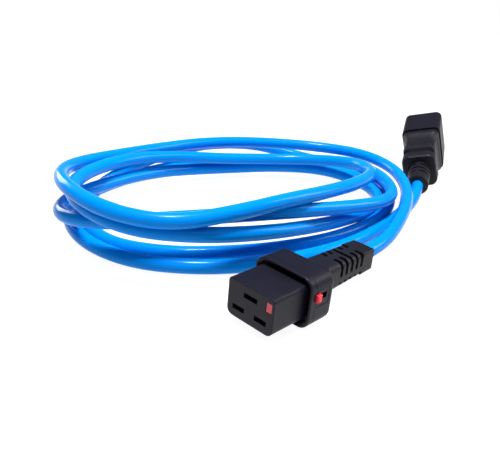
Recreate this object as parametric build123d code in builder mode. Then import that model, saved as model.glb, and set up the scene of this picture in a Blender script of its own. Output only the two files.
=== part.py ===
from build123d import *
from math import sin, cos, radians
import os

os.makedirs("parts", exist_ok=True)

# ------------------------------------------------------------------
# Locking power cord: a locking outlet connector and an inlet plug on
# one free three-core lead.  Millimetres, +Z up.  The connector's nose
# points along -Y, its width runs along X.  The origin is the centre
# of the flat underside of the connector's collar.
# ------------------------------------------------------------------

# ---- driving dimensions, connector -------------------------------
block_w, block_h = 27.0, 18.3          # nose section
block_top_r, block_low_r = 1.8, 3.4    # nose corner radii
face_y = -28.6                         # contact face
collar_front, collar_back = -8.3, 8.3
part_y = -4.8                          # joint line between the two shells
collar_w, collar_h, collar_r = 33.7, 25.5, 6.0
axis_z = collar_h / 2                  # height of the connector's axis
pin_pitch, earth_offset = 13.0, 8.0
earth_up, live_up = 4.1, -3.9          # slot heights from the axis
slot_earth = (7.8, 2.4)
slot_live = (7.0, 2.4)
boot_end = 55.0                        # where the cord leaves the boot
cord_d = 8.0
core_d = 2.6
slide_travel = 4.0
plate_lean = 10.0                      # lock plate's lean at rest, degrees

# ---- driving dimensions, plug ------------------------------------
plug_far = (-85.76, 269.07, 26.36)     # centre of the plug's open mouth
plug_yaw, plug_pitch, plug_roll = 27.79, 10.0, -17.08
shroud_h, shroud_v, shroud_r = 28.9, 36.2, 4.5
shroud_len = 32.0
cavity_h, cavity_v, cavity_deep = 20.4, 29.0, 18.5
plug_len = 93.0


def at(y, x=0.0, z=0.0):
    """Plane across the connector at y: local x is X, local y is Z, axis height is 0."""
    return Plane(origin=(x, y, axis_z + z), x_dir=(1, 0, 0), z_dir=(0, -1, 0))


# the plug's own axes from its yaw, pitch and roll
cy, sy = cos(radians(plug_yaw)), sin(radians(plug_yaw))
cp, sp = cos(radians(plug_pitch)), sin(radians(plug_pitch))
cr, sr = cos(radians(plug_roll)), sin(radians(plug_roll))
side = Vector(cy * cr - sy * sp * sr, sy * cr + cy * sp * sr, -cp * sr)
mate = Vector(-sy * cp, cy * cp, sp)
upv = Vector(cy * sr + sy * sp * cr, sy * sr - cy * sp * cr, cp * cr)
far = Vector(*plug_far)


def pat(s, h=0.0, v=0.0):
    """Plane across the plug, s behind its mouth: local x is its side, local y its height."""
    return Plane(origin=far - mate * s + side * h + upv * v, x_dir=side, z_dir=-mate)


def plug_pt(s, h, v):
    return far - mate * s + side * h + upv * v


# ------------------------------------------------------------------
# Cord route, from the boot's end to the plug's boot
# ------------------------------------------------------------------
route = [
    (0.0, 55.0, 12.75), (0.0, 73.5, 12.75), (-8.1, 102.9, 14.8), (-21.7, 136.2, 15.4),
    (-40.9, 166.9, 16.0), (-67.1, 189.3, 17.1), (-98.8, 195.9, 17.3), (-130.0, 183.3, 16.1),
    (-154.6, 158.0, 16.3), (-170.0, 127.0, 17.9), (-176.3, 93.7, 19.7), (-176.2, 59.6, 21.2),
    (-172.1, 25.1, 23.4), (-161.9, -8.4, 27.5), (-140.9, -36.4, 33.3), (-108.6, -52.2, 37.2),
    (-73.1, -51.4, 36.2), (-47.6, -33.2, 34.7), (-36.9, -1.0, 36.8), (-34.0, 34.6, 36.7),
    (-35.1, 70.3, 33.2), (-39.4, 107.1, 29.9), (-51.6, 140.2, 26.7), (-77.2, 157.3, 22.5),
    (-108.6, 150.6, 17.1), (-134.3, 126.3, 14.2), (-149.7, 94.5, 15.4), (-157.0, 60.7, 20.5),
    (-157.9, 26.2, 24.9), (-150.2, -8.2, 26.8), (-130.1, -36.8, 28.8), (-99.1, -50.6, 30.0),
    (-66.3, -44.4, 28.3), (-42.9, -20.6, 27.2), (-33.3, 12.5, 23.4), (-32.4, 47.5, 17.7),
    (-33.7, 82.1, 12.5), (-36.5, 116.9, 9.4), (-47.1, 147.9, 7.8), (-72.4, 163.9, 7.8),
    (-104.5, 159.5, 9.1), (-132.3, 138.0, 7.2), (-150.2, 108.8, 5.7), (-158.3, 77.3, 7.8),
    (-158.6, 44.1, 12.0), (-153.4, 7.7, 14.5), (-144.6, -30.3, 14.6), (-121.1, -50.4, 17.2),
    (-89.2, -46.5, 23.4), (-61.7, -22.1, 29.3), (-43.0, 9.6, 30.9), (-33.5, 44.0, 28.1),
    (-28.8, 79.2, 23.6), (-25.8, 112.8, 19.6), (-34.4, 140.9, 17.5), (-58.7, 163.2, 17.4),
    (-89.7, 180.1, 13.3), (-122.8, 186.5, 4.1), (-153.8, 178.7, 4.1), (-175.8, 156.9, 9.6),
    (-186.1, 125.8, 12.3), (-186.4, 92.7, 13.8), (-180.2, 59.7, 13.7), (-172.0, 25.2, 11.7),
    (-157.5, -7.8, 8.3), (-131.9, -29.1, 4.1), (-98.9, -33.7, 4.1), (-69.1, -17.2, 5.8),
    (-48.3, 11.6, 6.5), (-35.6, 44.3, 6.0), (-29.4, 78.2, 5.1), (-29.9, 113.9, 5.0),
    (-38.5, 148.5, 6.6), (-60.8, 170.8, 7.9), (-93.3, 172.5, 7.3), (-125.2, 156.9, 6.6),
    (-149.7, 130.9, 6.1), (-166.9, 100.8, 5.8), (-176.6, 68.6, 5.8), (-176.6, 34.0, 4.2),
    (-168.2, -1.4, 4.1), (-146.1, -30.3, 4.1), (-112.7, -42.3, 4.1), (-78.5, -36.6, 4.1),
    (-51.5, -14.8, 4.7), (-33.7, 15.5, 4.6), (-23.8, 48.4, 4.3), (-19.9, 81.7, 4.7),
    (-22.6, 116.2, 5.4), (-29.5, 150.2, 4.9),
    tuple(far - mate * (plug_len + 15.0)), tuple(far - mate * plug_len),
]


def run_path(points):
    """Radii for straight runs joined by tangent arcs: 0.45 of the shorter run over tan(half turn)."""
    v = [Vector(*p) for p in points]
    radii = []
    for a, b, c in zip(v, v[1:], v[2:]):
        u, w = b - a, c - b
        half = radians(u.get_angle(w)) / 2
        radii.append(0.45 * min(u.length, w.length) / (sin(half) / cos(half)))
    return radii


# ------------------------------------------------------------------
# Connector: nose insert with three contact chambers
# ------------------------------------------------------------------
with BuildPart() as front_insert:
    with BuildSketch(at(face_y)):
        Rectangle(block_w, block_h)
    extrude(amount=-(-2.0 - face_y))
    long_edges = front_insert.edges().filter_by(Axis.Y)
    fillet(long_edges.group_by(Axis.Z)[0], block_low_r)
    long_edges = front_insert.edges().filter_by(Axis.Y)
    fillet(long_edges.group_by(Axis.Z)[-1], block_top_r)
    fillet(front_insert.faces().sort_by(Axis.Y)[0].edges(), 0.5)
    # flange clamped between the two shells
    with BuildSketch(at(part_y)):
        RectangleRounded(29.4, 21.2, 4.0)
    extrude(amount=-2.0)
    # the three slots in the contact face
    with BuildSketch(at(face_y)):
        with Locations((0, earth_up)):
            Rectangle(*slot_earth)
        with Locations((-pin_pitch / 2, live_up), (pin_pitch / 2, live_up)):
            Rectangle(*slot_live)
    extrude(amount=-3.0, mode=Mode.SUBTRACT)
    # contact chambers behind them, open to the rear
    with BuildSketch(at(face_y + 2.0)):
        with Locations((0, earth_up)):
            Rectangle(8.8, 4.0)
        with Locations((-pin_pitch / 2, live_up), (pin_pitch / 2, live_up)):
            Rectangle(8.2, 4.0)
    extrude(amount=-30.0, mode=Mode.SUBTRACT)
    # channel of the release slide, with its window in the face
    with BuildSketch(at(face_y)):
        with Locations((10.6, 4.4)):
            Rectangle(3.4, 4.8)
    extrude(amount=-30.0, mode=Mode.SUBTRACT)
    # chamber of the lock plate
    with BuildSketch(at(face_y + 2.1)):
        with Locations((0.7, 4.25)):
            Rectangle(16.6, 7.7)
    extrude(amount=-7.0, mode=Mode.SUBTRACT)
    # notch for the button's stem
    with BuildSketch(at(-4.5)):
        with Locations((16.3, 3.2)):
            Rectangle(8.8, 3.2)
    extrude(amount=-3.0, mode=Mode.SUBTRACT)
front_insert.part.label = "front_insert"

# Collar, front shell: a dished ring round the nose
with BuildPart() as collar_front_shell:
    with BuildSketch(at(collar_front)):
        RectangleRounded(collar_w, collar_h, collar_r)
    extrude(amount=-(part_y - collar_front))
    fillet(collar_front_shell.faces().sort_by(Axis.Y)[0].edges(), 0.7)
    chamfer(collar_front_shell.faces().sort_by(Axis.Y)[-1].edges(), 0.15)
    with BuildSketch(at(collar_front - 0.01)):
        RectangleRounded(31.9, 23.7, 5.2)
    with BuildSketch(at(collar_front + 1.2)):
        RectangleRounded(29.4, 21.2, 3.9)
    with BuildSketch(at(collar_front + 3.0)):
        RectangleRounded(27.6, 18.9, 2.0)
    loft(mode=Mode.SUBTRACT)
    with BuildSketch(at(collar_front)):
        RectangleRounded(block_w, block_h, block_top_r)
    extrude(amount=-8.0, mode=Mode.SUBTRACT)
collar_front_shell.part.label = "collar_front_shell"

# Collar, rear shell
with BuildPart() as collar_rear_shell:
    with BuildSketch(at(part_y)):
        RectangleRounded(collar_w, collar_h, collar_r)
    extrude(amount=-(collar_back - part_y))
    fillet(collar_rear_shell.faces().sort_by(Axis.Y)[-1].edges(), 2.4)
    chamfer(collar_rear_shell.faces().sort_by(Axis.Y)[0].edges(), 0.2)
    with BuildSketch(at(part_y)):
        RectangleRounded(29.6, 21.4, 4.1)
    extrude(amount=-11.1, mode=Mode.SUBTRACT)
    with BuildSketch(at(part_y)):
        RectangleRounded(16.0, 13.0, 2.0)
    extrude(amount=-16.0, mode=Mode.SUBTRACT)
    # opening for the side cover
    with BuildSketch(at(part_y)):
        with Locations((16.0, 2.55)):
            Rectangle(4.0, 8.6)
    extrude(amount=-9.4, mode=Mode.SUBTRACT)
collar_rear_shell.part.label = "collar_rear_shell"

# Side cover with the button's slot
with BuildPart() as side_cover:
    with BuildSketch(at(part_y + 0.1)):
        with Locations((15.8, 2.55)):
            Rectangle(1.9, 8.1)
    extrude(amount=-9.1)
    with BuildSketch(Plane(origin=(12, 0, axis_z), x_dir=(0, 1, 0), z_dir=(1, 0, 0))):
        with Locations((-0.9, 3.2)):
            Rectangle(7.4, 3.0)
    extrude(amount=8, mode=Mode.SUBTRACT)
side_cover.part.label = "side_cover"

# Release slide: red button, stem and arm in one moulding
with BuildPart() as release_slide:
    with BuildSketch(at(face_y + 0.25)):
        with Locations((10.6, 4.4)):
            Rectangle(3.0, 4.4)
    extrude(amount=-29.0)
    with BuildSketch(at(-4.3)):
        with Locations((14.2, 3.2)):
            Rectangle(5.6, 2.4)
    extrude(amount=-2.8)
    with BuildSketch(at(-25.15 - 1.1)):
        with Locations((8.3, 4.4)):
            Rectangle(2.2, 2.4)
    extrude(amount=-1.1)
    with BuildSketch(at(-5.0)):
        with Locations((17.65, 3.3)):
            Rectangle(1.5, 3.7)
    extrude(amount=-2.9)
    head = release_slide.faces().sort_by(Axis.X)[-1]
    fillet(head.edges(), 0.7)
release_slide.part.label = "release_slide"

# Lock plate: a steel plate with a window round the earth pin
plate_n = Vector(0, -cos(radians(plate_lean)), -sin(radians(plate_lean)))
with BuildPart() as lock_plate:
    with BuildSketch(Plane(origin=(0, -20.5, axis_z + 0.95), x_dir=(1, 0, 0), z_dir=plate_n)):
        with Locations((0.7, 3.3)):
            Rectangle(15.4, 6.6)
        with Locations((0, 3.15)):
            Rectangle(8.6, 3.2, mode=Mode.SUBTRACT)
    extrude(amount=0.4, both=True)
    # rounded heel that it rocks on
    with BuildSketch(Plane(origin=(-7.0, -20.5, axis_z + 0.95), x_dir=(0, 1, 0), z_dir=(1, 0, 0))):
        Circle(0.4)
    extrude(amount=15.4)
lock_plate.part.label = "lock_plate"

# Return leaf behind the slide
with BuildPart() as return_leaf:
    with BuildSketch(at(5.0)):
        with Locations((10.6, 3.2)):
            Rectangle(3.0, 11.0)
    extrude(amount=-0.3)
    with BuildSketch(at(5.3)):
        with Locations((10.6, -1.3)):
            Rectangle(3.0, 2.0)
    extrude(amount=-1.0)
return_leaf.part.label = "return_leaf"

# Contacts: folded brass sleeve, neck and crimp barrel
with BuildPart() as contact_line:
    with BuildSketch(at(-26.0, -pin_pitch / 2, live_up)):
        Rectangle(7.9, 3.7)
        Rectangle(7.2, 2.3, mode=Mode.SUBTRACT)
    extrude(amount=-12.5)
    with BuildSketch(at(-15.0, -pin_pitch / 2, live_up + 1.5)):
        Rectangle(2.6, 0.7)
    extrude(amount=-5.0)
    with BuildSketch(at(-11.0, -pin_pitch / 2, live_up)):
        Circle(1.85)
        Circle(1.4, mode=Mode.SUBTRACT)
    extrude(amount=-6.5)
contact_line.part.label = "contact_line"

with BuildPart() as contact_neutral:
    with BuildSketch(at(-26.0, pin_pitch / 2, live_up)):
        Rectangle(7.9, 3.7)
        Rectangle(7.2, 2.3, mode=Mode.SUBTRACT)
    extrude(amount=-12.5)
    with BuildSketch(at(-15.0, pin_pitch / 2, live_up + 1.5)):
        Rectangle(2.6, 0.7)
    extrude(amount=-5.0)
    with BuildSketch(at(-11.0, pin_pitch / 2, live_up)):
        Circle(1.85)
        Circle(1.4, mode=Mode.SUBTRACT)
    extrude(amount=-6.5)
contact_neutral.part.label = "contact_neutral"

with BuildPart() as contact_earth:
    with BuildSketch(at(-19.2, 0, earth_up)):
        Rectangle(8.6, 3.7)
        Rectangle(8.0, 2.3, mode=Mode.SUBTRACT)
    extrude(amount=-9.2)
    with BuildSketch(at(-11.0, 0, earth_up + 1.5)):
        Rectangle(2.6, 0.7)
    extrude(amount=-3.9)
    with BuildSketch(at(-8.0, 0, earth_up)):
        Circle(1.85)
        Circle(1.4, mode=Mode.SUBTRACT)
    extrude(amount=-5.5)
contact_earth.part.label = "contact_earth"

# Cores from the crimps to the sheath's end
sheath_start = 20.0
with BuildPart() as core_line:
    with BuildLine():
        FilletPolyline((-6.5, -10.0, axis_z + live_up), (-6.5, 0.0, axis_z + live_up),
                       (-1.5, 12.5, axis_z - 0.9), (-1.5, sheath_start, axis_z - 0.9), radius=7.0)
    with BuildSketch(Plane(origin=(-6.5, -10.0, axis_z + live_up), z_dir=(0, 1, 0))):
        Circle(core_d / 2)
    sweep()
core_line.part.label = "core_line"

with BuildPart() as core_neutral:
    with BuildLine():
        FilletPolyline((6.5, -10.0, axis_z + live_up), (6.5, 0.0, axis_z + live_up),
                       (1.5, 12.5, axis_z - 0.9), (1.5, sheath_start, axis_z - 0.9), radius=7.0)
    with BuildSketch(Plane(origin=(6.5, -10.0, axis_z + live_up), z_dir=(0, 1, 0))):
        Circle(core_d / 2)
    sweep()
core_neutral.part.label = "core_neutral"

with BuildPart() as core_earth:
    with BuildLine():
        FilletPolyline((0, -7.0, axis_z + earth_up), (0, 1.0, axis_z + earth_up),
                       (0, 12.5, axis_z + 1.75), (0, sheath_start, axis_z + 1.75), radius=8.0)
    with BuildSketch(Plane(origin=(0, -7.0, axis_z + earth_up), z_dir=(0, 1, 0))):
        Circle(core_d / 2)
    sweep()
core_earth.part.label = "core_earth"

# Sheath's end inside the boot
with BuildPart() as sheath_connector:
    with BuildSketch(at(sheath_start)):
        Circle(cord_d / 2)
    extrude(amount=-(boot_end - sheath_start))
sheath_connector.part.label = "sheath_connector"

# Strain relief: flange, flare and slotted rectangular boot
with BuildPart() as strain_relief:
    with BuildSketch(at(collar_back)):
        RectangleRounded(21.5, 17.6, 4.0)
    with BuildSketch(at(13.0)):
        RectangleRounded(17.4, 15.1, 3.6)
    with BuildSketch(at(17.5)):
        RectangleRounded(16.2, 14.1, 3.3)
    loft(ruled=True)
    with BuildSketch(at(17.5)):
        RectangleRounded(16.2, 14.1, 3.3)
    with BuildSketch(at(45.6)):
        RectangleRounded(14.3, 12.4, 2.6)
    loft(ruled=True)
    with BuildSketch(at(45.6)):
        RectangleRounded(14.3, 12.4, 1.3)
    with BuildSketch(at(boot_end)):
        RectangleRounded(13.7, 11.9, 1.2)
    loft(ruled=True)
    # stem through the rear wall and flange inside it
    with BuildSketch(at(6.3)):
        RectangleRounded(15.9, 12.9, 1.95)
    extrude(amount=-(collar_back - 6.3))
    with BuildSketch(at(3.8)):
        RectangleRounded(17.9, 16.6, 3.0)
    extrude(amount=-2.5)
    # room for the cores, then the sheath's bore
    with BuildSketch(at(3.8)):
        RectangleRounded(13.2, 10.4, 1.5)
    extrude(amount=-(17.5 - 3.8), mode=Mode.SUBTRACT)
    with BuildSketch(at(16.0)):
        Circle(cord_d / 2 + 0.06)
    extrude(amount=-40.0, mode=Mode.SUBTRACT)
    # upper corner slots, the middle one right across the top
    for i in range(5):
        y = 25.6 + 4.4 * i
        t = (y - 17.5) / (boot_end - 17.5)
        w = 16.2 + (13.6 - 16.2) * t
        h = 14.1 + (11.8 - 14.1) * t
        with BuildSketch(at(y)):
            Rectangle(w + 2, h + 2)
            RectangleRounded(w - 3.0, h - 2.8, 2.2, mode=Mode.SUBTRACT)
            if i != 2:
                Rectangle(4.2, h + 3, mode=Mode.SUBTRACT)
            # solid strip along each side
            with Locations((0, -2.2)):
                Rectangle(w + 3, 2.6, mode=Mode.SUBTRACT)
        extrude(amount=-2.1, mode=Mode.SUBTRACT)
strain_relief.part.label = "strain_relief"

# ------------------------------------------------------------------
# Cord: a run at each end and the closed outer shape of the coil
# ------------------------------------------------------------------
run_a = [route[0], route[1], route[2], route[3], (-36.5, 160.5, 15.8)]
radii_a = run_path(run_a)
with BuildPart() as cord_run_connector:
    with BuildLine() as path_a:
        FilletPolyline(*run_a, radius=radii_a)
    with BuildSketch(Plane(origin=run_a[0], z_dir=Vector(*run_a[1]) - Vector(*run_a[0]))):
        Circle(cord_d / 2)
    sweep()
cord_run_connector.part.label = "cord_run_connector"

run_b = [(-25.3, 130.0, 5.2), route[-3], route[-2], route[-1]]
radii_b = run_path(run_b)
with BuildPart() as cord_run_plug:
    with BuildLine() as path_b:
        FilletPolyline(*run_b, radius=radii_b)
    with BuildSketch(Plane(origin=run_b[0], z_dir=Vector(*run_b[1]) - Vector(*run_b[0]))):
        Circle(cord_d / 2)
    sweep()
cord_run_plug.part.label = "cord_run_plug"

coil_outer = [(-16.0, 72.0), (-16.4, 100.0), (-23.2, 131.0), (-43.5, 166.5), (-76.5, 193.5),
              (-119.8, 201.1), (-163.2, 188.0), (-190.5, 151.5), (-195.6, 107.8), (-189.5, 72.0),
              (-181.7, 41.2), (-174.4, 5.4), (-154.4, -31.0), (-118.8, -56.0), (-75.2, -56.0),
              (-40.7, -25.5), (-28.0, 13.2), (-20.6, 43.9)]
coil_inner = [(-41.2, 72.0), (-44.0, 91.3), (-49.9, 111.5), (-61.3, 133.8), (-83.7, 145.6),
              (-108.9, 138.0), (-127.0, 122.0), (-138.6, 106.0), (-146.6, 90.1), (-150.5, 72.0),
              (-152.3, 51.9), (-150.2, 26.5), (-139.1, -4.1), (-114.0, -21.5), (-84.2, -11.1),
              (-62.5, 10.5), (-49.5, 32.1), (-42.6, 51.8)]
with BuildPart() as cord_coil:
    with BuildSketch():
        with BuildLine():
            Spline(*coil_outer, periodic=True)
        make_face()
        with BuildLine():
            Spline(*coil_inner, periodic=True)
        make_face(mode=Mode.SUBTRACT)
    extrude(amount=41.2)
    # the coil is lower at its far side
    with BuildSketch(Plane.YZ):
        with BuildLine():
            Polyline((-60, 41.4), (40, 40.4), (210, 25.0), (210, 60), (-60, 60), close=True)
        make_face()
    extrude(amount=-210, mode=Mode.SUBTRACT)
cord_coil.part.label = "cord_coil"

# ------------------------------------------------------------------
# Plug on the far end of the cord
# ------------------------------------------------------------------
with BuildPart() as plug_shroud:
    with BuildSketch(pat(0)):
        RectangleRounded(shroud_h, shroud_v, shroud_r)
    extrude(amount=shroud_len)
    with BuildSketch(pat(0)):
        RectangleRounded(cavity_h, cavity_v, 2.0)
    extrude(amount=cavity_deep, mode=Mode.SUBTRACT)
    # slots that the pins pass through
    with BuildSketch(pat(cavity_deep)):
        with Locations((-4.2, 0)):
            Rectangle(2.0, 7.4)
        with Locations((3.8, -pin_pitch / 2), (3.8, pin_pitch / 2)):
            Rectangle(2.0, 6.6)
    extrude(amount=20, mode=Mode.SUBTRACT)
plug_shroud.part.label = "plug_shroud"

with BuildPart() as plug_body:
    # narrow neck against the shroud
    with BuildSketch(pat(shroud_len)):
        RectangleRounded(25.6, 32.8, 4.0)
    extrude(amount=1.4)
    # rib, then the scalloped grip, then a second rib
    with BuildSketch(pat(33.4)):
        RectangleRounded(26.9, 34.1, 4.2)
    with BuildSketch(pat(38.0)):
        RectangleRounded(26.6, 33.8, 4.2)
    loft(ruled=True)
    with BuildSketch(pat(38.0)):
        RectangleRounded(26.6, 33.8, 4.2)
    with BuildSketch(pat(42.5)):
        RectangleRounded(23.8, 30.6, 4.2)
    with BuildSketch(pat(47.0)):
        RectangleRounded(22.8, 29.3, 4.2)
    with BuildSketch(pat(51.5)):
        RectangleRounded(23.0, 29.6, 4.2)
    with BuildSketch(pat(56.0)):
        RectangleRounded(23.6, 30.2, 4.2)
    loft()
    with BuildSketch(pat(56.0)):
        RectangleRounded(23.6, 30.2, 4.2)
    with BuildSketch(pat(60.0)):
        RectangleRounded(23.0, 28.8, 4.2)
    with BuildSketch(pat(61.6)):
        RectangleRounded(20.6, 23.4, 5.0)
    loft(ruled=True)
    # flange behind the waist
    with BuildSketch(pat(61.6)):
        RectangleRounded(20.6, 23.4, 5.0)
    with BuildSketch(pat(63.0)):
        RectangleRounded(24.2, 25.6, 5.4)
    with BuildSketch(pat(69.6)):
        RectangleRounded(24.0, 25.4, 5.4)
    with BuildSketch(pat(70.6)):
        RectangleRounded(22.4, 23.8, 4.8)
    loft(ruled=True)
    # hollow for the crimps and cores, then the boot's seat
    with BuildSketch(pat(32.0)):
        RectangleRounded(16.0, 21.0, 2.0)
    extrude(amount=32.0, mode=Mode.SUBTRACT)
    with BuildSketch(pat(63.0)):
        Circle(8.3)
    extrude(amount=9.0, mode=Mode.SUBTRACT)
plug_body.part.label = "plug_body"

with BuildPart() as plug_boot:
    with BuildSketch(pat(64.0)):
        Circle(8.25)
    with BuildSketch(pat(plug_len)):
        Circle(7.5)
    loft()
    with BuildSketch(pat(63.0)):
        Circle(cord_d / 2 + 0.06)
    extrude(amount=30, mode=Mode.SUBTRACT)
    # three rings of segmented slots, the middle one open across the top
    for i in range(3):
        s = 73.4 + 4.9 * i
        with BuildSketch(pat(s)):
            Circle(10.0)
            Circle(6.0, mode=Mode.SUBTRACT)
            if i != 1:
                Rectangle(3.0, 20.0, mode=Mode.SUBTRACT)
            Rectangle(20.0, 3.0, mode=Mode.SUBTRACT)
        extrude(amount=1.6, mode=Mode.SUBTRACT)
plug_boot.part.label = "plug_boot"

with BuildPart() as sheath_plug:
    with BuildSketch(pat(66.0)):
        Circle(cord_d / 2)
    extrude(amount=plug_len - 66.0)
sheath_plug.part.label = "sheath_plug"

# Pins: flat blades with crimp barrels behind
with BuildPart() as plug_pin_earth:
    with BuildSketch(pat(1.2, -4.2, 0)):
        Rectangle(2.0, 7.4)
    extrude(amount=32.3)
    fillet(plug_pin_earth.edges().group_by(lambda e: round((e.center() - far).dot(-mate), 1))[0], 0.5)
    with BuildSketch(pat(32.0, -4.2, 0)):
        Circle(1.9)
    extrude(amount=1.5)
    with BuildSketch(pat(33.5, -4.2, 0)):
        Circle(1.9)
        Circle(1.4, mode=Mode.SUBTRACT)
    extrude(amount=5.5)
plug_pin_earth.part.label = "plug_pin_earth"

with BuildPart() as plug_pin_line:
    with BuildSketch(pat(2.8, 3.8, pin_pitch / 2)):
        Rectangle(2.0, 6.6)
    extrude(amount=30.7)
    fillet(plug_pin_line.edges().group_by(lambda e: round((e.center() - far).dot(-mate), 1))[0], 0.5)
    with BuildSketch(pat(32.0, 3.8, pin_pitch / 2)):
        Circle(1.9)
    extrude(amount=1.5)
    with BuildSketch(pat(33.5, 3.8, pin_pitch / 2)):
        Circle(1.9)
        Circle(1.4, mode=Mode.SUBTRACT)
    extrude(amount=5.5)
plug_pin_line.part.label = "plug_pin_line"

with BuildPart() as plug_pin_neutral:
    with BuildSketch(pat(2.8, 3.8, -pin_pitch / 2)):
        Rectangle(2.0, 6.6)
    extrude(amount=30.7)
    fillet(plug_pin_neutral.edges().group_by(lambda e: round((e.center() - far).dot(-mate), 1))[0], 0.5)
    with BuildSketch(pat(32.0, 3.8, -pin_pitch / 2)):
        Circle(1.9)
    extrude(amount=1.5)
    with BuildSketch(pat(33.5, 3.8, -pin_pitch / 2)):
        Circle(1.9)
        Circle(1.4, mode=Mode.SUBTRACT)
    extrude(amount=5.5)
plug_pin_neutral.part.label = "plug_pin_neutral"

# Cores inside the plug
with BuildPart() as plug_core_line:
    with BuildLine():
        FilletPolyline(plug_pt(35.0, 3.8, 6.5), plug_pt(43.0, 3.8, 6.5),
                       plug_pt(58.0, 0.9, 1.5), plug_pt(66.0, 0.9, 1.5), radius=8.0)
    with BuildSketch(pat(35.0, 3.8, 6.5)):
        Circle(core_d / 2)
    sweep()
plug_core_line.part.label = "plug_core_line"

with BuildPart() as plug_core_neutral:
    with BuildLine():
        FilletPolyline(plug_pt(35.0, 3.8, -6.5), plug_pt(43.0, 3.8, -6.5),
                       plug_pt(58.0, 0.9, -1.5), plug_pt(66.0, 0.9, -1.5), radius=8.0)
    with BuildSketch(pat(35.0, 3.8, -6.5)):
        Circle(core_d / 2)
    sweep()
plug_core_neutral.part.label = "plug_core_neutral"

with BuildPart() as plug_core_earth:
    with BuildLine():
        FilletPolyline(plug_pt(35.0, -4.2, 0), plug_pt(43.0, -4.2, 0),
                       plug_pt(58.0, -1.75, 0), plug_pt(66.0, -1.75, 0), radius=8.0)
    with BuildSketch(pat(35.0, -4.2, 0)):
        Circle(core_d / 2)
    sweep()
plug_core_earth.part.label = "plug_core_earth"

# ------------------------------------------------------------------
# Checks and export
# ------------------------------------------------------------------
print("last route points:", [tuple(round(c, 2) for c in p) for p in route[-3:]])
print("run radii, connector end:", [round(r, 1) for r in radii_a])
print("run radii, plug end:", [round(r, 1) for r in radii_b])
section = 3.14159265 * cord_d ** 2 / 4
for nm, b, p in (("connector end", cord_run_connector, path_a), ("plug end", cord_run_plug, path_b)):
    length = sum(e.length for e in p.line.edges())
    print(nm, "run length", round(length, 1), "volume", round(b.part.volume, 1), "section x length", round(section * length, 1))

export_step(front_insert.part, "parts/front_insert.step")
export_step(collar_front_shell.part, "parts/collar_front_shell.step")
export_step(collar_rear_shell.part, "parts/collar_rear_shell.step")
export_step(side_cover.part, "parts/side_cover.step")
export_step(release_slide.part, "parts/release_slide.step")
export_step(lock_plate.part, "parts/lock_plate.step")
export_step(return_leaf.part, "parts/return_leaf.step")
export_step(contact_line.part, "parts/contact_line.step")
export_step(contact_neutral.part, "parts/contact_neutral.step")
export_step(contact_earth.part, "parts/contact_earth.step")
export_step(core_line.part, "parts/core_line.step")
export_step(core_neutral.part, "parts/core_neutral.step")
export_step(core_earth.part, "parts/core_earth.step")
export_step(sheath_connector.part, "parts/sheath_connector.step")
export_step(strain_relief.part, "parts/strain_relief.step")
export_step(cord_run_connector.part, "parts/cord_run_connector.step")
export_step(cord_run_plug.part, "parts/cord_run_plug.step")
export_step(cord_coil.part, "parts/cord_coil.step")
export_step(plug_shroud.part, "parts/plug_shroud.step")
export_step(plug_body.part, "parts/plug_body.step")
export_step(plug_boot.part, "parts/plug_boot.step")
export_step(sheath_plug.part, "parts/sheath_plug.step")
export_step(plug_pin_earth.part, "parts/plug_pin_earth.step")
export_step(plug_pin_line.part, "parts/plug_pin_line.step")
export_step(plug_pin_neutral.part, "parts/plug_pin_neutral.step")
export_step(plug_core_line.part, "parts/plug_core_line.step")
export_step(plug_core_neutral.part, "parts/plug_core_neutral.step")
export_step(plug_core_earth.part, "parts/plug_core_earth.step")
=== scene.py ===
import math
import bpy
import bmesh
from mathutils import Vector, Matrix


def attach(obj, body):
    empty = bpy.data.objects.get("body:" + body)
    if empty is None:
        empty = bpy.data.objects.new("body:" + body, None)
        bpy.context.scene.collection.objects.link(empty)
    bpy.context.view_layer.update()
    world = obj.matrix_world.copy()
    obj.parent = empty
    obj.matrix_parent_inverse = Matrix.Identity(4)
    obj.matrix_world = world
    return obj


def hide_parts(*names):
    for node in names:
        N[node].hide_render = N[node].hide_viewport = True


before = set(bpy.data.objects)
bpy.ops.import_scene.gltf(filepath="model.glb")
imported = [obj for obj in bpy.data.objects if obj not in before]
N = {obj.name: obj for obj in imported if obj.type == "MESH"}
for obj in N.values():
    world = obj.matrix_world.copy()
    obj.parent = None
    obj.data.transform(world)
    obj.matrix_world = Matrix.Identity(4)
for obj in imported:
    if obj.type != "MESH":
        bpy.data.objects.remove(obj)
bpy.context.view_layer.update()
D = bpy.data
scene = bpy.context.scene

MM = 0.001
AXIS_Z = 12.75            # height of the connector's axis, mm
CORD_D = 8.0

# ------------------------------------------------------------------
# Camera: the photograph's viewing angle, image taken as 500 x 450
# ------------------------------------------------------------------
CAM_POS = Vector((144.83, -193.35, 147.87)) * MM
ELEV, RHO, YAW = math.radians(23.893), math.radians(-5.5), math.radians(-42.138)
fwd = Vector((math.sin(YAW) * math.cos(ELEV), math.cos(YAW) * math.cos(ELEV), -math.sin(ELEV)))
right = Vector((math.cos(YAW), -math.sin(YAW), 0.0))
down = fwd.cross(right)
r2 = right * math.cos(RHO) + down * math.sin(RHO)
d2 = -right * math.sin(RHO) + down * math.cos(RHO)
cam_data = D.cameras.new("camera")
cam = D.objects.new("camera", cam_data)
scene.collection.objects.link(cam)
m = Matrix((r2, -d2, -fwd)).transposed().to_4x4()
m.translation = CAM_POS
cam.matrix_world = m
cam_data.sensor_fit = "HORIZONTAL"
cam_data.sensor_width = 36.0
cam_data.lens = 600.0 / 500.0 * 36.0
cam_data.clip_start = 0.01
cam_data.clip_end = 10.0
cam_data.dof.use_dof = False
scene.camera = cam

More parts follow.
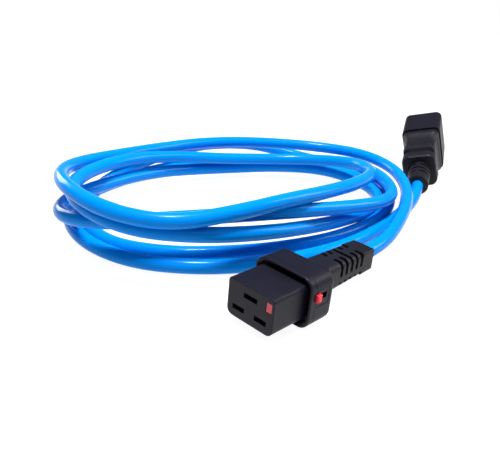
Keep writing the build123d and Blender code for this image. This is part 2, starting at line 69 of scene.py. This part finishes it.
# ------------------------------------------------------------------
# The cord's route, mm, from the connector's boot to the plug's boot
# ------------------------------------------------------------------
ROUTE = [
    (0.0, 55.0, 12.75), (0.0, 73.5, 12.75), (-8.1, 102.9, 14.8), (-21.7, 136.2, 15.4),
    (-40.9, 166.9, 16.0), (-67.1, 189.3, 17.1), (-98.8, 195.9, 17.3), (-130.0, 183.3, 16.1),
    (-154.6, 158.0, 16.3), (-170.0, 127.0, 17.9), (-176.3, 93.7, 19.7), (-176.2, 59.6, 21.2),
    (-172.1, 25.1, 23.4), (-161.9, -8.4, 27.5), (-140.9, -36.4, 33.3), (-108.6, -52.2, 37.2),
    (-73.1, -51.4, 36.2), (-47.6, -33.2, 34.7), (-36.9, -1.0, 36.8), (-34.0, 34.6, 36.7),
    (-35.1, 70.3, 33.2), (-39.4, 107.1, 29.9), (-51.6, 140.2, 26.7), (-77.2, 157.3, 22.5),
    (-108.6, 150.6, 17.1), (-134.3, 126.3, 14.2), (-149.7, 94.5, 15.4), (-157.0, 60.7, 20.5),
    (-157.9, 26.2, 24.9), (-150.2, -8.2, 26.8), (-130.1, -36.8, 28.8), (-99.1, -50.6, 30.0),
    (-66.3, -44.4, 28.3), (-42.9, -20.6, 27.2), (-33.3, 12.5, 23.4), (-32.4, 47.5, 17.7),
    (-33.7, 82.1, 12.5), (-36.5, 116.9, 9.4), (-47.1, 147.9, 7.8), (-72.4, 163.9, 7.8),
    (-104.5, 159.5, 9.1), (-132.3, 138.0, 7.2), (-150.2, 108.8, 5.7), (-158.3, 77.3, 7.8),
    (-158.6, 44.1, 12.0), (-153.4, 7.7, 14.5), (-144.6, -30.3, 14.6), (-121.1, -50.4, 17.2),
    (-89.2, -46.5, 23.4), (-61.7, -22.1, 29.3), (-43.0, 9.6, 30.9), (-33.5, 44.0, 28.1),
    (-28.8, 79.2, 23.6), (-25.8, 112.8, 19.6), (-34.4, 140.9, 17.5), (-58.7, 163.2, 17.4),
    (-89.7, 180.1, 13.3), (-122.8, 186.5, 4.1), (-153.8, 178.7, 4.1), (-175.8, 156.9, 9.6),
    (-186.1, 125.8, 12.3), (-186.4, 92.7, 13.8), (-180.2, 59.7, 13.7), (-172.0, 25.2, 11.7),
    (-157.5, -7.8, 8.3), (-131.9, -29.1, 4.1), (-98.9, -33.7, 4.1), (-69.1, -17.2, 5.8),
    (-48.3, 11.6, 6.5), (-35.6, 44.3, 6.0), (-29.4, 78.2, 5.1), (-29.9, 113.9, 5.0),
    (-38.5, 148.5, 6.6), (-60.8, 170.8, 7.9), (-93.3, 172.5, 7.3), (-125.2, 156.9, 6.6),
    (-149.7, 130.9, 6.1), (-166.9, 100.8, 5.8), (-176.6, 68.6, 5.8), (-176.6, 34.0, 4.2),
    (-168.2, -1.4, 4.1), (-146.1, -30.3, 4.1), (-112.7, -42.3, 4.1), (-78.5, -36.6, 4.1),
    (-51.5, -14.8, 4.7), (-33.7, 15.5, 4.6), (-23.8, 48.4, 4.3), (-19.9, 81.7, 4.7),
    (-22.6, 116.2, 5.4), (-29.5, 150.2, 4.9), (-36.17, 174.98, 7.61), (-43.06, 188.05, 10.21),
]


def link(ob):
    scene.collection.objects.link(ob)
    return ob


# ------------------------------------------------------------------
# Materials
# ------------------------------------------------------------------
def material(name, build):
    mat = D.materials.new(name)
    mat.use_nodes = True
    nt = mat.node_tree
    nt.nodes.clear()
    out = nt.nodes.new("ShaderNodeOutputMaterial")
    b = nt.nodes.new("ShaderNodeBsdfPrincipled")
    nt.links.new(b.outputs[0], out.inputs["Surface"])
    build(nt, b)
    return mat


def coords(nt):
    return nt.nodes.new("ShaderNodeTexCoord").outputs["Object"]


def noise(nt, vec, scale, detail=3.0, rough=0.5):
    n = nt.nodes.new("ShaderNodeTexNoise")
    n.inputs["Scale"].default_value = scale
    n.inputs["Detail"].default_value = detail
    n.inputs["Roughness"].default_value = rough
    nt.links.new(vec, n.inputs["Vector"])
    return n.outputs["Fac"]


def ramp(nt, fac, stops):
    r = nt.nodes.new("ShaderNodeValToRGB")
    el = r.color_ramp.elements
    while len(el) < len(stops):
        el.new(0.5)
    for e, (p, c) in zip(el, stops):
        e.position = p
        e.color = (c[0], c[1], c[2], 1.0)
    nt.links.new(fac, r.inputs[0])
    return r.outputs[0]


def remap(nt, fac, lo, hi):
    r = nt.nodes.new("ShaderNodeMapRange")
    r.inputs["To Min"].default_value = lo
    r.inputs["To Max"].default_value = hi
    nt.links.new(fac, r.inputs["Value"])
    return r.outputs[0]


def bump(nt, fac, b, strength, dist):
    n = nt.nodes.new("ShaderNodeBump")
    n.inputs["Strength"].default_value = strength
    n.inputs["Distance"].default_value = dist
    nt.links.new(fac, n.inputs["Height"])
    nt.links.new(n.outputs[0], b.inputs["Normal"])
    return n


def plastic(c_lo, c_hi, r_lo, r_hi, grain=2500.0, g_str=0.25, blotch=45.0, coat=0.0, spec=0.5):
    def build(nt, b):
        v = coords(nt)
        big = noise(nt, v, blotch, 4.0, 0.55)
        nt.links.new(ramp(nt, big, [(0.3, c_lo), (0.7, c_hi)]), b.inputs["Base Color"])
        fine = noise(nt, v, grain, 2.0, 0.6)
        mid = noise(nt, v, blotch * 6, 3.0, 0.5)
        nt.links.new(remap(nt, mid, r_lo, r_hi), b.inputs["Roughness"])
        bump(nt, fine, b, g_str, 0.00004)
        b.inputs["Specular IOR Level"].default_value = spec
        if coat:
            b.inputs["Coat Weight"].default_value = coat
            b.inputs["Coat Roughness"].default_value = 0.18
    return build


def metal(c_lo, c_hi, r_lo, r_hi):
    def build(nt, b):
        v = coords(nt)
        nt.links.new(ramp(nt, noise(nt, v, 120.0), [(0.3, c_lo), (0.7, c_hi)]), b.inputs["Base Color"])
        b.inputs["Metallic"].default_value = 1.0
        nt.links.new(remap(nt, noise(nt, v, 900.0), r_lo, r_hi), b.inputs["Roughness"])
        bump(nt, noise(nt, v, 1800.0), b, 0.15, 0.00003)
    return build


M_BLUE = material("blue_pvc", plastic((0.0, 0.192, 0.64), (0.0, 0.210, 0.70), 0.14, 0.20, 70.0, 0.05, 18.0, 0.0, 0.075))
M_BLACK = material("black_nylon", plastic((0.0036, 0.0032, 0.0092), (0.0056, 0.0050, 0.0128), 0.40, 0.52, spec=0.2))
M_BOOT = material("black_boot", plastic((0.0044, 0.0042, 0.0078), (0.0068, 0.0064, 0.0112), 0.44, 0.56, 1800.0, spec=0.2))


def red_release(nt, b):
    plastic((0.78, 0.012, 0.028), (0.88, 0.022, 0.042), 0.26, 0.36, spec=0.4)(nt, b)
    # the tip that shows in the contact face is painted a duller, darker red as painted shade of its recess
    v = coords(nt)
    sep = nt.nodes.new("ShaderNodeSeparateXYZ")
    nt.links.new(v, sep.inputs[0])
    mr = nt.nodes.new("ShaderNodeMapRange")
    mr.inputs["From Min"].default_value = -0.0282
    mr.inputs["From Max"].default_value = -0.0272
    nt.links.new(sep.outputs["Y"], mr.inputs["Value"])
    mix = nt.nodes.new("ShaderNodeMix")
    mix.data_type = "RGBA"
    old = b.inputs["Base Color"].links[0].from_socket
    nt.links.new(mr.outputs[0], mix.inputs["Factor"])
    mix.inputs["A"].default_value = (0.55, 0.055, 0.075, 1.0)
    nt.links.new(old, mix.inputs["B"])
    nt.links.new(mix.outputs["Result"], b.inputs["Base Color"])


M_RED = material("red_release", red_release)
M_STEEL = material("spring_steel", metal((0.5, 0.5, 0.5), (0.62, 0.61, 0.6), 0.22, 0.4))
M_BRASS = material("brass", metal((0.68, 0.47, 0.19), (0.8, 0.6, 0.28), 0.22, 0.4))
M_PIN = material("nickel_pin", metal((0.6, 0.58, 0.54), (0.74, 0.72, 0.68), 0.18, 0.32))
M_BROWN = material("core_brown", plastic((0.14, 0.05, 0.02), (0.19, 0.07, 0.03), 0.35, 0.5))
M_CBLUE = material("core_blue", plastic((0.01, 0.08, 0.36), (0.02, 0.11, 0.44), 0.35, 0.5))


def green_yellow(nt, b):
    v = coords(nt)
    w = nt.nodes.new("ShaderNodeTexWave")
    w.inputs["Scale"].default_value = 260.0
    w.inputs["Distortion"].default_value = 0.4
    nt.links.new(v, w.inputs["Vector"])
    nt.links.new(ramp(nt, w.outputs["Fac"], [(0.45, (0.04, 0.3, 0.04)), (0.55, (0.75, 0.62, 0.03))]), b.inputs["Base Color"])
    nt.links.new(remap(nt, noise(nt, v, 300.0), 0.35, 0.5), b.inputs["Roughness"])
    bump(nt, noise(nt, v, 1500.0), b, 0.15, 0.00003)


M_CGREEN = material("core_green_yellow", green_yellow)

LOOK = {
    "front_insert": M_BLACK, "collar_front_shell": M_BLACK, "collar_rear_shell": M_BLACK,
    "side_cover": M_BLACK, "release_slide": M_RED, "lock_plate": M_STEEL, "return_leaf": M_STEEL,
    "contact_line": M_BRASS, "contact_neutral": M_BRASS, "contact_earth": M_BRASS,
    "core_line": M_BROWN, "core_neutral": M_CBLUE, "core_earth": M_CGREEN,
    "sheath_connector": M_BLUE, "strain_relief": M_BOOT,
    "plug_shroud": M_BLACK, "plug_body": M_BOOT, "plug_boot": M_BOOT, "sheath_plug": M_BLUE,
    "plug_pin_line": M_PIN, "plug_pin_neutral": M_PIN, "plug_pin_earth": M_PIN,
    "plug_core_line": M_BROWN, "plug_core_neutral": M_CBLUE, "plug_core_earth": M_CGREEN,
    "cord_run_connector": M_BLUE, "cord_run_plug": M_BLUE, "cord_coil": M_BLUE,
}
for name, mat in LOOK.items():
    ob = N[name]
    if not ob.material_slots:
        ob.data.materials.append(mat)
    for s in ob.material_slots:
        s.material = mat

# ------------------------------------------------------------------
# The cord
# ------------------------------------------------------------------
cu = D.curves.new("cord", "CURVE")
cu.dimensions = "3D"
sp = cu.splines.new("NURBS")
sp.points.add(len(ROUTE) - 1)
for p, q in zip(sp.points, ROUTE):
    p.co = (q[0] * MM, q[1] * MM, q[2] * MM, 1.0)
sp.order_u = 3
sp.use_endpoint_u = True
cu.resolution_u = 10
cu.bevel_depth = CORD_D / 2 * MM
cu.bevel_resolution = 6
cu.use_fill_caps = True
cord = link(D.objects.new("cord", cu))
cu.materials.append(M_BLUE)
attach(cord, "housing")
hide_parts("cord_run_connector", "cord_run_plug", "cord_coil")

# ------------------------------------------------------------------
# Floor and light
# ------------------------------------------------------------------
bpy.ops.mesh.primitive_plane_add(size=16.0, location=(0, 0, -0.0002))
floor = bpy.context.object
floor.name = "floor"


def floor_look(nt, b):
    v = coords(nt)
    nt.links.new(ramp(nt, noise(nt, v, 3.0), [(0.3, (0.17, 0.17, 0.172)), (0.7, (0.19, 0.19, 0.192))]), b.inputs["Base Color"])
    b.inputs["Roughness"].default_value = 0.9
    b.inputs["Specular IOR Level"].default_value = 0.1
    b.inputs["Emission Color"].default_value = (1.0, 1.0, 1.0, 1.0)
    b.inputs["Emission Strength"].default_value = 0.93


floor.data.materials.append(material("floor", floor_look))

world = D.worlds.new("world")
scene.world = world
world.use_nodes = True
bg = world.node_tree.nodes["Background"]
bg.inputs[0].default_value = (1.0, 1.0, 1.0, 1.0)
bg.inputs[1].default_value = 0.11


def area(name, loc, target, size, energy, sy=None):
    l = D.lights.new(name, "AREA")
    l.shape = "RECTANGLE"
    l.size = size
    l.size_y = sy or size
    l.energy = energy
    o = link(D.objects.new(name, l))
    o.location = loc
    o.rotation_euler = (Vector(target) - Vector(loc)).to_track_quat("-Z", "Y").to_euler()
    return o


C = (-0.09, 0.07, 0.0)
RT = Vector((0.7416, 0.671, 0.0))      # the camera's right, level
AWAY = Vector((-0.671, 0.7416, 0.0))   # away from the camera, level
CV = Vector(C)
sun_data = D.lights.new("sky", "SUN")
sun_data.energy = 0.8
sun_data.angle = math.radians(80)
sun = link(D.objects.new("sky", sun_data))
sun.rotation_euler = (Vector((0, 0, 0)) - (Vector((0, 0, 1.0)) - AWAY * 0.25 + RT * 0.1)).to_track_quat("-Z", "Y").to_euler()
area("top", CV - AWAY * 0.1 + Vector((0, 0, 1.1)), C, 0.13, 22.0, 0.22)
area("right", CV + RT * 0.95 + AWAY * 0.25 + Vector((0, 0, 0.55)), C, 0.3, 5.0, 0.6)
area("rear left", CV + AWAY * 0.8 - RT * 0.9 + Vector((0, 0, 0.35)), C, 0.5, 8.0, 0.5)
scene.view_settings.view_transform = "Standard"
